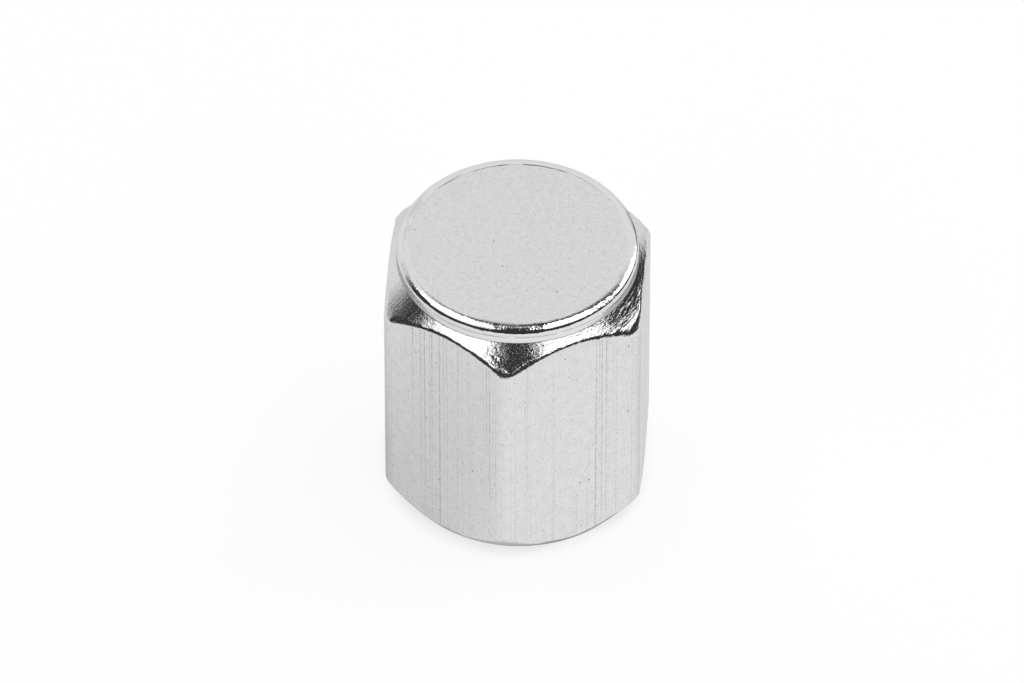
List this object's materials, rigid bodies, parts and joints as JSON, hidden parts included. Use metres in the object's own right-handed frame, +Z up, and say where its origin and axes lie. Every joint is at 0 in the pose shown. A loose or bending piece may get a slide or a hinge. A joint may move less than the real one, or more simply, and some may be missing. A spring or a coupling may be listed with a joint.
{
  "type": "tyre valve cap",
  "caption": "Hexagonal chrome-plated screw cap for a tyre valve, with coned ends, a low round boss on top, a blind threaded bore and a rubber sealing washer.",
  "frame": {"origin": "centre of the foot, on the screw axis", "axes": "+Z up the screw axis from the mouth to the boss, -Y towards a corner of the hexagon, +X square to a flat"},
  "size_m": [0.01, 0.0112, 0.012],
  "materials": {
    "chrome_plating": "bright chrome plating over drawn bar, with fine drawing lines on the flats, orange peel on the cones and a satin top",
    "black_rubber": "matt moulded rubber"
  },
  "bodies": {
    "root": {"cap_body": "chrome_plating", "sealing_washer": "black_rubber"}
  },
  "joints": []
}
